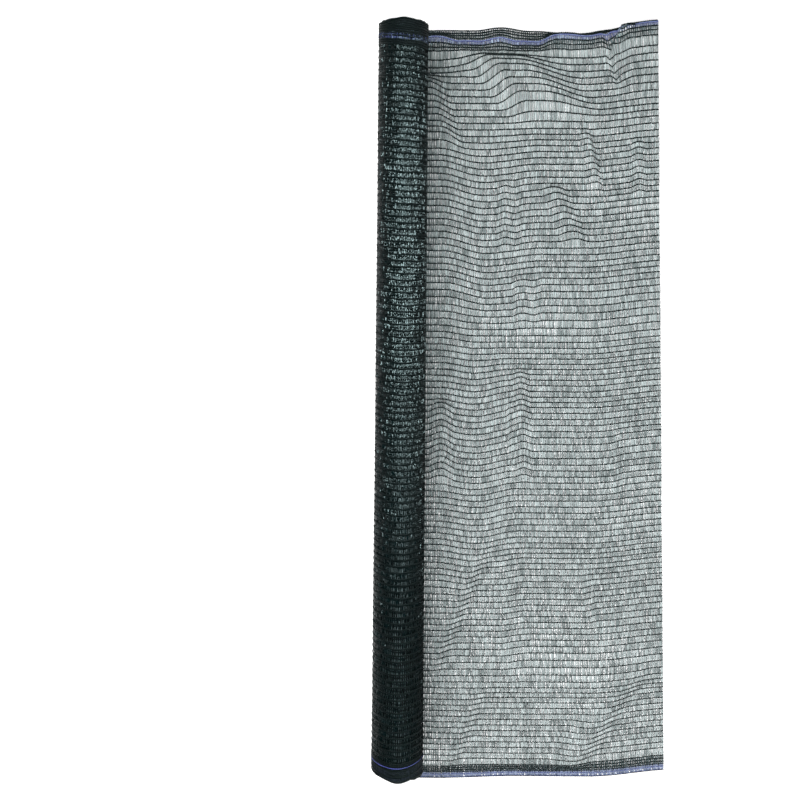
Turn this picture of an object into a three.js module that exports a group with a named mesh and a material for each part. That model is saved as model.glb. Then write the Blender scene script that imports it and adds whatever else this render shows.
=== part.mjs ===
// A roll of knitted shade netting with its free end pulled out flat beside it.
//
// Millimetres. +Y runs along the roll, +X towards the cut end of the loose netting, +Z up.
// The origin is the middle of the flat spot that the roll rests on.
//
// The netting is one cloth: it lies on the surface, runs in under the roll at its resting
// line, and is wound up from there, over the left side, the crest and the right side.
import * as THREE from 'three';

// Driving sizes
const NET_WIDTH = 1000;        // selvage to selvage, where the net leaves the roll
const NET_MIDDLE_Y = -5;       // the net left the roll a little towards its foot end
const PILLARS = 122;           // knitted chains across the width, about three to the inch
const PITCH_SPREAD = 0.10;     // the chains lie this much wider apart at the head than midway
const CLOTH = 1.2;             // thickness of the cloth between its chains
const RIB = 0.5;               // how far a chain stands proud of it
const GAP = 0.3;               // air between the roll and the loose netting
const REACH = 348;             // from the resting line to the cut end, midway
const REACH_LEAN = -0.016;     // the cut end runs out of square by this slope
const FLAT_HALF = 6;           // half the width of the roll's flat spot
const TURN_STEP = CLOTH + GAP; // the outer turn comes down this much over one turn
const LUMP = 0.3;              // unevenness of the wound surface
const LUMP_LOBES = 5;          // this many swells round a turn
const LUMP_LENGTH = 97;        // and a slow drift of this length along the roll
const LUMP_FADE = 6;           // none within a sixth of a turn of the flat spot

// The roll is a little thicker towards its foot end. Each row is one section along it.
const ROLL_SECTIONS = [
  { y: 485, radius: 33.8 },
  { y: 300, radius: 34.0 },
  { y: 0, radius: 34.3 },
  { y: -260, radius: 34.7 },
  { y: -487, radius: 35.2 },
];
const ROLL_RINGS = 14;         // rings along the wound surface
const ROLL_STEPS = 40;         // steps round one turn

// Where the outer turn's selvage and the inner turns end, seen at four places round the
// roll. The inner turns have slid out past the outer one at both ends.
const ROLL_ENDS = {
  head: {
    side: 1,
    outer: { left: 491, crest: 485, right: 484, under: 488 },
    inner: { left: 495, crest: 497, right: 495, under: 494 },
  },
  foot: {
    side: -1,
    outer: { left: 480, crest: 489, right: 477, under: 476 },
    inner: { left: 485, crest: 496, right: 491, under: 486 },
  },
};
const OUTER_TURNS = 1.3;       // thickness of the outer turn that ends early
const END_ROUND = 2.0;         // rounding where the inner turns' edges begin
const WIND_PITCH = 6.4;        // the end face shows a coarse spiral of this pitch
const WIND_DEPTH = 0.8;        // and this depth
const WIND_RINGS = 9;          // rings from the rim to the middle of the end face
const EYE_RADIUS = 3;          // the small hollow in the middle of the winding
const EYE_DEPTH = 4;
const END_DISH = 1;            // the middle of the winding lies this far in from the crest

// Folds of the loose netting
// A row for each fold. Its line runs from (x0, y0) at its head end to (x1, y1) at its foot
// end. Across the line, over half a width each way, the chains are shifted along Y by step,
// which stays, and by wave, which comes and goes, and the cloth is lifted off the surface by
// lift. above and below are the lengths over which the fold dies away past its two ends.
const FOLD_COLUMNS = ['x0', 'y0', 'x1', 'y1', 'half', 'step', 'wave', 'lift', 'above', 'below'];
const FOLD_ROWS = {
  edge_draw: [300, 539, 309, -533, 60, 10.7, 0, 0, 27, 27],
  corner_pull: [305, 525, 306, 482, 27, 6.7, 0, 5, 34, 29],
  head_sag: [229, 525, 229, 484, 46, 0, -4, 0, 29, 27],
  head_crest: [133, 524, 133, 492, 35, 0, 4, 4, 19, 16],
  head_tuck: [225, 487, 225, 480, 32, 0, 4, 4, 11, 11],
  swirl_rise: [98, 454, 140, 403, 17, 13, 0, 6, 27, 40],
  swirl_fall: [156, 454, 226, 404, 29, -13, 0, 0, 27, 40],
  swirl_rise_deep: [115, 435, 140, 403, 16, 5.4, 0, 2, 16, 40],
  swirl_fall_deep: [180, 436, 226, 404, 27, -5.4, 0, 0, 16, 40],
  roll_fall_head: [53, 416, 68, 349, 19, -13, 0, 4, 29, 29],
  roll_fall_mid: [77, 320, 86, 135, 29, -12, 0, 4, 29, 29],
  roll_fall_foot: [76, 105, 74, -247, 23, -5.4, 0, 4, 29, 27],
  climb_head: [150, 336, 152, 135, 40, 8, 0, 2, 32, 32],
  climb_mid: [125, 21, 131, -193, 27, 9.4, 0, 2, 34, 34],
  crease: [256, 348, 267, 286, 6, -5.4, 0, 7, 19, 16],
  edge_cusp: [319, 331, 320, 271, 12, 0, 5.4, 4, 16, 16],
  notch: [279, 472, 290, 434, 9, 0, -6.7, 6, 16, 16],
  notch_rise: [300, 477, 304, 432, 11, 5.4, 0, 3, 16, 16],
  far_crest: [206, 270, 232, 210, 21, 0, 5.4, 4, 16, 16],
  mid_ridge: [160, 22, 165, -106, 13, 0, 4, 4, 19, 19],
  roll_hump: [54, -20, 55, -104, 19, 0, 6.7, 5, 21, 21],
  low_step: [100, -230, 69, -328, 12, 7.4, 0, 4, 24, 29],
  low_climb: [149, -233, 152, -347, 19, 4.7, 0, 2, 24, 24],
  foot_step: [103, -401, 77, -482, 10, 4, 0, 3, 16, 16],
  foot_lift: [104, -502, 104, -535, 60, 4, 0, 0, 19, 19],
  foot_hollow: [255, -432, 229, -480, 32, 0, -3.4, 0, 13, 13],
  foot_swell: [295, -391, 247, -483, 16, 8, 0, 5, 19, 19],
};
const FOLDS = Object.values(FOLD_ROWS).map((row) =>
  Object.fromEntries(FOLD_COLUMNS.map((column, i) => [column, row[i]])));
const LIFT_SPREAD = 1.4;       // a lift reaches this much wider than the shift it goes with
const LIFT_SKIRT = 4;
const LIFT_FROM = 26;          // the cloth lies flat up to this X, under the roll
const LIFT_FULL = 60;
const RIB_FROM = 8;            // and its chains are pressed flat up to this X
const RIB_FULL = 20;

// Columns of the loose netting's mesh, closer where its folds are.
const COLUMN_ZONES = [
  { to: 34, columns: 2 },
  { to: 158, columns: 8 },
  { to: 244, columns: 4 },
  { to: REACH, columns: 4 },
];
const ROWS_PER_PILLAR = 2;     // a crest and a valley
const COARSE = 4;              // the underside has one row for this many above it

// Helpers
const TURN = 2 * Math.PI;
const clamp01 = (t) => Math.min(1, Math.max(0, t));
const ease = (t) => clamp01(t) ** 2 * (3 - 2 * clamp01(t));
const hump = (t) => (Math.abs(t) < 1 ? (1 - t * t) ** 2 : 0);
const mix = (a, b, t) => a + (b - a) * t;

// A closed body from its corners and its faces, every face wound to look outwards.
function body(name, corners, faces, material) {
  const geometry = new THREE.BufferGeometry();
  geometry.setAttribute('position', new THREE.Float32BufferAttribute(corners.flat(), 3));
  geometry.setIndex(faces.flat());
  geometry.computeVertexNormals();
  const mesh = new THREE.Mesh(geometry, material);
  mesh.name = name;
  return mesh;
}

// Two triangles between the corners a, b of one row and c, d of the next.
const quad = (a, b, c, d) => [[a, b, d], [a, d, c]];

// The wound roll
function rollRadius(y) {
  for (let i = 1; i < ROLL_SECTIONS.length; i++) {
    const [head, foot] = [ROLL_SECTIONS[i - 1], ROLL_SECTIONS[i]];
    if (y >= foot.y || i === ROLL_SECTIONS.length - 1) {
      return mix(foot.radius, head.radius, clamp01((y - foot.y) / (head.y - foot.y)));
    }
  }
  return ROLL_SECTIONS[0].radius;
}

// A value that is known at four places round the roll, eased from one to the next.
function round(four, turn) {
  const order = [four.under, four.left, four.crest, four.right, four.under];
  const at = clamp01(turn) * 4;
  const i = Math.min(3, Math.floor(at));
  return mix(order[i], order[i + 1], ease(at - i));
}

// One outline of the roll, drawn in by inset, where yAt gives Y round the turn. It starts at
// the left edge of the flat spot and goes round over the crest. Its last corner is the foot
// of the outer turn's step, beside which the loose netting begins.
function rollOutline(yAt, inset) {
  const corner = (turn, stepDown) => {
    const y = yAt(turn);
    const radius = rollRadius(y);
    const centre = Math.sqrt(radius ** 2 - FLAT_HALF ** 2);
    const start = Math.asin(FLAT_HALF / radius);
    const angle = mix(start, TURN - start, turn);
    const drift = y / LUMP_LENGTH;
    const fade = ease(LUMP_FADE * turn) * ease(LUMP_FADE * (1 - turn));
    const lump = LUMP * fade * Math.sin(LUMP_LOBES * angle + drift) * Math.sin(2 * angle - drift);
    const r = radius - stepDown + lump - inset;
    return [-r * Math.sin(angle), y, centre - r * Math.cos(angle)];
  };
  const corners = [];
  for (let i = 0; i <= ROLL_STEPS; i++) corners.push(corner(i / ROLL_STEPS, TURN_STEP * i / ROLL_STEPS));
  corners.push(corner(1, 0));
  return corners;
}

// The rings of one end, from the outer turn's selvage over the inner turns to the eye.
function endRings({ side, outer, inner }) {
  const rings = [
    { inset: OUTER_TURNS, yAt: (t) => side * (round(outer, t) + GAP) },
    { inset: OUTER_TURNS, yAt: (t) => side * (round(inner, t) - END_ROUND) },
    { inset: OUTER_TURNS + END_ROUND / 2, yAt: (t) => side * round(inner, t) },
  ];
  const rim = OUTER_TURNS + END_ROUND / 2;
  const eye = Math.min(...ROLL_SECTIONS.map((section) => section.radius)) - EYE_RADIUS;
  for (let i = 1; i <= WIND_RINGS; i++) {
    const inwards = i / WIND_RINGS;
    const inset = mix(rim, eye, inwards);
    const dish = (t) => inwards * (round(inner, t) - inner.crest + END_DISH);
    const spiral = (t) => WIND_DEPTH * (0.5 + 0.5 * Math.cos(TURN * (inset / WIND_PITCH - t)));
    rings.push({ inset, yAt: (t) => side * (round(inner, t) - dish(t) - spiral(t)) });
  }
  return rings;
}

function makeRoll(material) {
  const { head, foot } = ROLL_ENDS;
  const outlines = endRings(head).reverse();
  for (let i = 0; i < ROLL_RINGS; i++) {
    const t = i / (ROLL_RINGS - 1);
    outlines.push({ inset: 0, yAt: (turn) => mix(round(head.outer, turn), -round(foot.outer, turn), t) });
  }
  outlines.push(...endRings(foot));

  const corners = [];
  const faces = [];
  const rings = outlines.map(({ yAt, inset }) =>
    rollOutline(yAt, inset).map((corner) => corners.push(corner) - 1));
  const around = rings[0].length;
  for (let i = 1; i < rings.length; i++) {
    for (let j = 0; j < around; j++) {
      const k = (j + 1) % around;
      faces.push(...quad(rings[i - 1][k], rings[i - 1][j], rings[i][k], rings[i][j]));
    }
  }
  // the hollow eye in the middle of each end
  const eye = (ring, { side }) => {
    const middle = new THREE.Vector3();
    ring.forEach((c) => middle.add(new THREE.Vector3(...corners[c])));
    middle.divideScalar(ring.length);
    const tip = corners.push([middle.x, middle.y - side * EYE_DEPTH, middle.z]) - 1;
    ring.forEach((c, j) => {
      const next = ring[(j + 1) % ring.length];
      faces.push(side > 0 ? [tip, c, next] : [tip, next, c]);
    });
  };
  eye(rings[0], head);
  eye(rings[rings.length - 1], foot);
  return body('roll', corners, faces, material);
}

// The loose netting
// How far the folds shift a chain along Y at (x, y), and how high they lift the cloth.
function foldAt(x, y) {
  let shift = 0;
  let lift = 0;
  for (const f of FOLDS) {
    const across = x - mix(f.x0, f.x1, (f.y0 - y) / (f.y0 - f.y1));
    const along = ease((f.y0 + f.above - y) / f.above) * ease((y - f.y1 + f.below) / f.below);
    shift += along * (f.step * ease((across / f.half + 1) / 2) + f.wave * hump(across / f.half));
    lift += along * f.lift * hump(across / (LIFT_SPREAD * f.half + LIFT_SKIRT));
  }
  return { shift, lift: lift * ease((x - LIFT_FROM) / (LIFT_FULL - LIFT_FROM)) };
}

// Where a place across the width, 0 at the foot and 1 at the head, lies at the roll.
function chainY(across) {
  const v = 2 * across - 1;
  return NET_MIDDLE_Y + NET_WIDTH * (across - 0.5 + PITCH_SPREAD * (v * v - 1) / 4);
}

function stations() {
  const xs = [FLAT_HALF + GAP];
  for (const { to, columns } of COLUMN_ZONES) {
    const from = xs[xs.length - 1];
    for (let i = 1; i <= columns; i++) xs.push(mix(from, to, i / columns));
  }
  return xs;
}

function makeLooseEnd(material) {
  const xs = stations();
  const rows = ROWS_PER_PILLAR * (PILLARS - 1);
  const groups = Math.ceil(rows / COARSE);
  const straight = xs.indexOf(COLUMN_ZONES[0].to);

  // The folded middle of the cloth, on the coarse rows.
  const form = [];
  for (let g = 0; g <= groups; g++) {
    const y = chainY(Math.min(1, (g * COARSE) / rows));
    form.push(xs.map((x, c) => {
      const { shift, lift } = foldAt(x, y);
      const pull = clamp01((c - straight) / (xs.length - 1 - straight));
      return new THREE.Vector3(x + pull * REACH_LEAN * y, y + shift, lift);
    }));
  }

  const corners = [];
  const faces = [];
  const top = [];
  const under = [];
  for (let r = 0; r <= rows; r++) {
    const g = Math.min(groups - 1, Math.floor(r / COARSE));
    const last = g === groups - 1 ? rows - g * COARSE : COARSE;
    const t = (r - g * COARSE) / last;
    const crest = r % ROWS_PER_PILLAR === 0;
    top.push(xs.map((x, c) => {
      const p = form[g][c].clone().lerp(form[g + 1][c], t);
      const rib = crest ? RIB * ease((x - RIB_FROM) / (RIB_FULL - RIB_FROM)) : 0;
      return corners.push([p.x, p.y, p.z + CLOTH + rib]) - 1;
    }));
  }
  for (const row of form) under.push(row.map((p) => corners.push([p.x, p.y, p.z]) - 1));

  const wide = xs.length - 1;
  for (let r = 0; r < rows; r++) {
    const [here, next] = [top[r], top[r + 1]];
    for (let c = 0; c < wide; c++) faces.push(...quad(here[c], here[c + 1], next[c], next[c + 1]));
  }
  for (let g = 0; g < groups; g++) {
    const [here, next] = [under[g], under[g + 1]];
    for (let c = 0; c < wide; c++) faces.push(...quad(here[c + 1], here[c], next[c + 1], next[c]));
  }
  // the selvages at the foot and the head
  for (let c = 0; c < wide; c++) {
    faces.push(...quad(under[0][c], under[0][c + 1], top[0][c], top[0][c + 1]));
    faces.push(...quad(top[rows][c], top[rows][c + 1], under[groups][c], under[groups][c + 1]));
  }
  // the edge under the roll and the cut end: the fine rows above meet the coarse ones below
  for (const [c, outwards] of [[0, false], [wide, true]]) {
    for (let g = 0; g < groups; g++) {
      const first = g * COARSE;
      const after = Math.min(rows, first + COARSE);
      const half = Math.floor((first + after) / 2);
      const fan = [];
      for (let r = first; r < half; r++) fan.push([under[g][c], top[r + 1][c], top[r][c]]);
      for (let r = half; r < after; r++) fan.push([under[g + 1][c], top[r + 1][c], top[r][c]]);
      fan.push([under[g][c], under[g + 1][c], top[half][c]]);
      faces.push(...(outwards ? fan : fan.map(([a, b, d]) => [a, d, b])));
    }
  }
  return body('loose_netting', corners, faces, material);
}

// The part
const wound = new THREE.MeshStandardMaterial({ color: 0x16221d, roughness: 0.45, metalness: 0 });
const open = new THREE.MeshStandardMaterial({ color: 0x33443d, roughness: 0.5, metalness: 0 });

const netting = new THREE.Group();
netting.add(makeRoll(wound), makeLooseEnd(open));

export default netting;
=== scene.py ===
# %% [markdown]
# # A roll of shade netting with its end pulled out flat
# Shade netting is knitted from polyethylene. Thin chains run along its length, and a flat tape
# zigzags between each two of them. The roll is one long piece of it, wound on itself, and the
# free end lies open beside it. This lesson makes the net by Geometry Nodes: the knit is worked
# out once, flat, and then laid on a form, which is a plain surface with the cloth's folds.

# %% Load the frame
import math

import bpy
import numpy as np
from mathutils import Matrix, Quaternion, Vector


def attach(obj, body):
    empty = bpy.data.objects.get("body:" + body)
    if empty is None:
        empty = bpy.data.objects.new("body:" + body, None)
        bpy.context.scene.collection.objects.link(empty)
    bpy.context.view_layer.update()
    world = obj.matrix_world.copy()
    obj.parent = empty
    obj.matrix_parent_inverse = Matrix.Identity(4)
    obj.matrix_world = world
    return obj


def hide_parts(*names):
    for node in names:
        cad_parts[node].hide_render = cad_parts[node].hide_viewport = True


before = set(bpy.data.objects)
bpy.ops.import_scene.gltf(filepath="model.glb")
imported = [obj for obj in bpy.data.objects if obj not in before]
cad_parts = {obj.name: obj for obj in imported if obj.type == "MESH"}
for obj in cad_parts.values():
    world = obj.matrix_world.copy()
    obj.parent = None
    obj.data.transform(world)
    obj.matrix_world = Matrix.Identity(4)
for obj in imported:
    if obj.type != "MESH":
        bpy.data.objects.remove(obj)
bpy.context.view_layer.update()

scene = bpy.context.scene
MM = 0.001


# %% [markdown]
# ## Camera
# The picture looks straight down. The camera stands two metres above the surface, and its
# lens takes in a little over a metre there. The roll leans half a degree to the right in the
# picture, so the camera is turned by that much and the net stays square to its own axes.

# %% Camera above the netting
CAMERA_HEIGHT = 2.0
CAMERA_X = -0.8 * MM
VIEW_WIDTH = 1.072  # what the picture's width takes in at the surface
LEAN = math.radians(0.511)



def put(name, data):
    """A new object in the scene."""
    made = bpy.data.objects.new(name, data)
    scene.collection.objects.link(made)
    return made


camera_data = bpy.data.cameras.new("camera")
camera_data.sensor_width = 36
camera_data.lens = camera_data.sensor_width * CAMERA_HEIGHT / VIEW_WIDTH
camera = put("camera", camera_data)
camera.location = (CAMERA_X, 0, CAMERA_HEIGHT)
camera.rotation_euler = (0, 0, LEAN)
scene.camera = camera
print("lens:", round(camera_data.lens, 1), "mm")


# %% [markdown]
# ## The cloth's measures
# All lengths below are millimetres. The net is a metre wide with a chain every eight
# millimetres or so. The tape crosses the gap between two chains once for each course, and a
# course is three millimetres long. The roll is a little thicker at its foot. The inner turns
# have slid out, so each turn's edge is known at a few places round the roll, from the flat
# spot over the left.

# %% Measures of the net and the roll
NET_WIDTH = 1000  # selvage to selvage
NET_MIDDLE_Y = -5  # the net left the roll a little towards its foot
PITCH_SPREAD = 0.10  # the chains lie this much wider apart at the head than midway
REACH = 348  # from the roll's resting line to the cut end
REACH_LEAN = -0.016  # the cut end runs out of square by this slope
NET_START = 8  # the open net begins here, under the roll
STRAIGHT_TO = 34  # and is in line with the roll up to here
COURSE = 2.95  # one crossing of the tape along the cloth
FLAT_HALF = 6  # half the width of the roll's flat spot
TURN_STEP = 1.5  # the outer turn comes down this much over one turn
ROLL_SECTIONS_Y = (-487, -260, 0, 300, 485)
ROLL_SECTIONS_R = (35.2, 34.7, 34.3, 34.0, 33.8)

OUTER_HEAD = {"under": 488, "left": 491, "crest": 485, "right": 484}
OUTER_FOOT = {"under": 476, "left": 480, "crest": 489, "right": 477}
INNER_HEAD = {
    "under": 494, "low left": 494.5, "left": 494.7, "high left": 493,
    "crest": 496.4, "high right": 493.4, "right": 493.4, "low right": 493.5,
}
INNER_FOOT = {
    "under": 486, "low left": 485, "left": 484.5, "high left": 489,
    "crest": 495.6, "high right": 490, "right": 488.5, "low right": 487.5,
}


def ease(t):
    """0 before 0, 1 after 1, and a soft step between."""
    t = np.clip(t, 0, 1)
    return t * t * (3 - 2 * t)


def hump(t):
    """A soft bump from -1 to 1, one high in its middle."""
    return np.where(np.abs(t) < 1, (1 - t * t) ** 2, 0)


# %% [markdown]
# ## Folds of the open net
# A fold shows mostly in the chains: they run side by side and all step up or down together
# where they cross it. So each fold is one row of a table. Its line runs from a head end to a
# foot end. Across it the chains are shifted by a step that stays, or by a wave that comes and
# goes, and the cloth is lifted a few millimetres. Above and below are the lengths over which
# it dies away past the line's ends. Side is 1 where the near side of the line takes the step,
# and a pinch draws the cloth together at the line, so that it looks dark there. The lines
# were read off a picture, and the lifts were judged from how the light falls on them.

# %% Table of the folds
FOLD_COLUMNS = (
    "x0", "y0", "x1", "y1", "half", "step", "wave", "lift", "above", "below", "side", "pinch",
)
FOLD_ROWS = {
    "edge draw": (300, 539, 309, -533, 60, 10.7, 0, 0, 27, 27),
    "corner pull": (309, 500, 288, 474, 10, 2.4, 0, 5, 34, 24, 0, 4.2),
    "corner rise": (318, 500, 318, 452, 30, 1.6, 0, 0, 34, 24),
    "edge turned in": (195, 482, 195, 477, 12, 9.5, 0, 0, 12, 14),
    "blue by the roll": (42, 482, 42, 481, 34, 0, 6, 0, 11, 11),
    "blue crest": (131, 481, 131, 478, 24, 0, 4, 0, 12, 11),
    "head spread": (45, 453, 45, 449, 52, 0, -6.3, 0, 22, 18),
    "head sag": (229, 525, 229, 484, 46, 0, -4, 0, 29, 27),
    "head crest": (133, 524, 133, 492, 35, 0, 4, 2, 19, 16),
    "head tuck": (225, 487, 225, 480, 32, 0, 4, 2, 11, 11),
    "swirl rise": (103, 448, 140, 403, 17, 13, 0, 3, 20, 40),
    "swirl fall": (190, 448, 224, 404, 40, -13, 0, 0, 20, 40),
    "swirl rise deep": (115, 435, 140, 403, 16, 5.4, 0, 1, 16, 40),
    "swirl fall deep": (195, 436, 224, 404, 38, -5.4, 0, 0, 16, 40),
    "roll fall head": (48, 414, 66, 349, 15, -12.5, 0, 2, 29, 29, 1),
    "roll fall middle": (77, 305, 86, 150, 29, -12, 0, 2, 60, 60, 1),
    "roll fall foot": (76, 95, 74, -235, 23, -5.4, 0, 2, 50, 50, 1),
    "climb head": (150, 310, 152, 160, 40, 8, 0, 1, 90, 90),
    "climb middle": (125, 0, 131, -170, 27, 9.4, 0, 1, 90, 90),
    "crease": (256, 342, 267, 292, 4, -4, 0, 2, 34, 34, 0, 1.0),
    "crease curl": (249, 348, 261, 286, 12, 0, 2.6, 0, 13, 13),
    "edge cusp": (319, 331, 320, 271, 12, 0, 3.6, 1, 16, 16),
    "notch": (279, 472, 290, 434, 8, 0, -6.7, 3, 16, 16, 0, 1.2),
    "notch rise": (300, 477, 304, 432, 10.7, 5.4, 0, 1.5, 30, 40),
    "far crest": (206, 270, 232, 210, 21, 0, 5.4, 2, 16, 16),
    "small crest": (137, 283, 138, 209, 10.7, 0, 2.4, 0, 16, 16),
    "small dip": (153, 283, 154, 209, 9.4, 0, -1.8, 0, 16, 16),
    "nick head": (152, 146, 154, 114, 4, 3, 0, 0, 34, 34),
    "nick dip": (177, 152, 178, 109, 13, 0, -2.8, 0, 16, 16),
    "nick foot": (144, -30, 146, -60, 4, 4, 0, 1, 34, 34),
    "middle ridge": (160, 22, 165, -106, 13, 0, 4, 2, 19, 19),
    "roll hump": (54, -20, 55, -104, 19, 0, 6.7, 2.5, 21, 21),
    "low step": (100, -240, 69, -320, 12, 7.4, 0, 2, 60, 70),
    "low climb": (149, -243, 152, -340, 19, 4.7, 0, 1, 50, 50),
    "foot step": (103, -410, 77, -482, 9.4, 4, 0, 1.5, 36, 16),
    "foot lift": (104, -502, 104, -535, 60, 4, 0, 0, 19, 19),
    "foot hollow": (255, -432, 229, -480, 32, 0, -3.4, 0, 13, 13),
    "foot swell": (295, -410, 247, -483, 18, 6.7, 0, 2, 70, 19),
    "far nick": (288, -68, 292, -121, 8, 2.7, 0, 1, 30, 30),
    "far hump": (249, -262, 254, -292, 9.4, 4, 0, 1.5, 36, 36),
}
FOLDS = [dict(zip(FOLD_COLUMNS, row)) for row in FOLD_ROWS.values()]
print("folds:", len(FOLDS))


# %% [markdown]
# ## How the folds move the cloth
# Each fold adds its own shift and lift, so folds that meet flow into each other. Between them
# knitted cloth doesn't lie dead flat either. It stands a millimetre or two off the surface in
# slow waves, which softens its shadow.

# %% The shift and lift at any place
PINCH_PEAK = 3.5  # brings the pinch's own curve to a peak of one
LIFT_SPREAD = 1.4  # a lift reaches this much wider than the shift it goes with
LIFT_SKIRT = 4
LIFT_FROM = 26  # the cloth lies flat up to here, under the roll
LIFT_FULL = 60
REST = 2.0  # between its folds the cloth stands this far off the surface
REST_UNEVEN = 0.5  # and comes and goes by this share of it
REST_WAVES = ((47, 61), (83, 34))


def fold_at(x, y):
    """Shift along X and Y and lift of the cloth at x and y, all arrays in millimetres."""
    aside = np.zeros_like(x)
    shift = np.zeros_like(x)
    lift = np.zeros_like(x)
    for fold in FOLDS:
        down = (fold["y0"] - y) / (fold["y0"] - fold["y1"])
        off = x - fold["x0"] - (fold["x1"] - fold["x0"]) * down
        along = ease((fold["y0"] + fold["above"] - y) / fold["above"])
        along = along * ease((y - fold["y1"] + fold["below"]) / fold["below"])
        half = fold["half"]
        stepped = ease((off / half + 1) / 2) - fold.get("side", 0)
        shift += along * (fold["step"] * stepped + fold["wave"] * hump(off / half))
        lift += along * fold["lift"] * hump(off / (LIFT_SPREAD * half + LIFT_SKIRT))
        aside -= along * fold.get("pinch", 0) * PINCH_PEAK * (off / half) * hump(off / half)
    for wave_x, wave_y in REST_WAVES:
        lift += REST / 2 * (1 + REST_UNEVEN * np.sin(x / wave_x + y / wave_y))
    return aside, shift, lift * ease((x - LIFT_FROM) / (LIFT_FULL - LIFT_FROM))


def chain_y(across):
    """Where a place across the width, 0 at the foot and 1 at the head, lies at the roll."""
    v = 2 * across - 1
    return NET_MIDDLE_Y + NET_WIDTH * (across - 0.5 + PITCH_SPREAD * (v * v - 1) / 4)


# %% [markdown]
# ## Forms to lay the knit on
# A form is a plain grid of points with a UV map. U runs along the cloth's length and V across
# its width, so a place on the flat knit finds its place on the form by its UV. The open end
# has one form with all its folds, and each turn of the roll that shows has one of its own.

# %% A grid surface with a UV map
def grid_form(name, places):
    """A mesh from rows of points in metres. Rows run across the cloth, columns along it."""
    rows, columns = places.shape[:2]
    index = np.arange(rows * columns).reshape(rows, columns)
    corners = [index[:-1, :-1], index[:-1, 1:], index[1:, 1:], index[1:, :-1]]
    faces = np.stack(corners, axis=-1).reshape(-1, 4)
    mesh = bpy.data.meshes.new(name)
    mesh.from_pydata(places.reshape(-1, 3).tolist(), [], faces.tolist())
    uv_map = mesh.uv_layers.new(name="cloth")
    used = np.empty(len(mesh.loops), dtype=np.int32)
    mesh.loops.foreach_get("vertex_index", used)
    uv = np.stack([(used % columns) / (columns - 1), (used // columns) / (rows - 1)], axis=-1)
    uv_map.data.foreach_set("uv", uv.ravel())
    mesh.polygons.foreach_set("use_smooth", [True] * len(mesh.polygons))
    print(name, "form:", rows, "x", columns)
    return mesh


# %% The open end's form
FORM_STEP = 2.6  # between the form's points
CLOTH_MIDDLE = 0.7  # height of the cloth's middle where it lies flat

across = np.linspace(0, 1, int(NET_WIDTH / FORM_STEP))
away = np.linspace(NET_START, REACH, int(REACH / FORM_STEP))
form_x, form_y = np.meshgrid(away, chain_y(across))
form_aside, form_shift, form_lift = fold_at(form_x, form_y)
pull = np.clip((form_x - STRAIGHT_TO) / (REACH - STRAIGHT_TO), 0, 1)
open_places = np.stack(
    [form_x + form_aside + pull * REACH_LEAN * form_y, form_y + form_shift, CLOTH_MIDDLE + form_lift],
    axis=-1,
)
OPEN_FORM = grid_form("open end", open_places * MM)


# %% [markdown]
# ## The roll's forms
# A roll that rests on a surface is nearly round with a small flat spot, and slightly lumpy
# from the folds wound into it. One function gives a place on any turn, so that the turns and
# the core stay clear of each other. At its ends the inner turn widens, because nothing holds
# it down past the outer turn's edge.

# %% Places round the roll
LUMP = 0.3  # unevenness of the wound surface
LUMP_LOBES = 5  # this many swells round a turn
LUMP_LENGTH = 97  # and a slow drift of this length along the roll
LUMP_FADE = 6  # none within a sixth of a turn of the flat spot


def round_the_roll(places, turn):
    """A value known at a few even places round the roll, as a smooth curve through them."""
    known = np.array(list(places.values()), dtype=float)
    at = np.clip(turn, 0, 1) * len(known)
    i = at.astype(int)
    t = at - i
    before, here, after, beyond = (known[(i + step) % len(known)] for step in (-1, 0, 1, 2))
    start_slope = (after - before) / 2
    end_slope = (beyond - here) / 2
    square = 3 * (after - here) - 2 * start_slope - end_slope
    cube = 2 * (here - after) + start_slope + end_slope
    return here + t * (start_slope + t * (square + t * cube))


def on_the_roll(turn, y, inset):
    """The place on the roll at a share of a turn, drawn in by inset, in millimetres."""
    radius = np.interp(y, ROLL_SECTIONS_Y, ROLL_SECTIONS_R)
    centre = np.sqrt(radius**2 - FLAT_HALF**2)
    start = np.arcsin(FLAT_HALF / radius)
    angle = start + turn * (2 * math.pi - 2 * start)
    drift = y / LUMP_LENGTH
    fade = ease(LUMP_FADE * turn) * ease(LUMP_FADE * (1 - turn))
    lump = LUMP * fade * np.sin(LUMP_LOBES * angle + drift) * np.sin(2 * angle - drift)
    r = radius - TURN_STEP * turn + lump - inset
    return np.stack([-r * np.sin(angle), y, centre - r * np.cos(angle)], axis=-1)


# %% The two turns' forms
OUTER_INSET = 0.7  # the knit's middle lies this far inside the roll's own outline
INNER_INSET = 1.9
FLARE_INSET = 0.7  # past the outer turn's edges the inner one is as wide as it
FLARE_FROM = 474
FLARE_OVER = 14
FORM_ROUND = 73  # points of a form round the roll and along it
FORM_ALONG = 141


def turn_form(name, inset, head, foot):
    """The form of one turn between the head and foot selvages, a little wider at its ends."""
    turn, v = np.meshgrid(np.linspace(0, 1, FORM_ROUND), np.linspace(0, 1, FORM_ALONG))
    y = -round_the_roll(foot, turn) * (1 - v) + round_the_roll(head, turn) * v
    flare = (inset - FLARE_INSET) * ease((np.abs(y) - FLARE_FROM) / FLARE_OVER)
    return grid_form(name, on_the_roll(turn, y, inset - flare) * MM)


OUTER_FORM = turn_form("outer turn", OUTER_INSET, OUTER_HEAD, OUTER_FOOT)
INNER_FORM = turn_form("inner turn", INNER_INSET, INNER_HEAD, INNER_FOOT)


# %% [markdown]
# ## Small helpers for node trees
# A tree is easier to read when a node and its links stand on one line. These helpers add a
# node, do sums, move points, open a new group and draw random numbers. Each use of chance has
# a seed of its own, so that a crossing's width has nothing to do with its twist.

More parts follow.
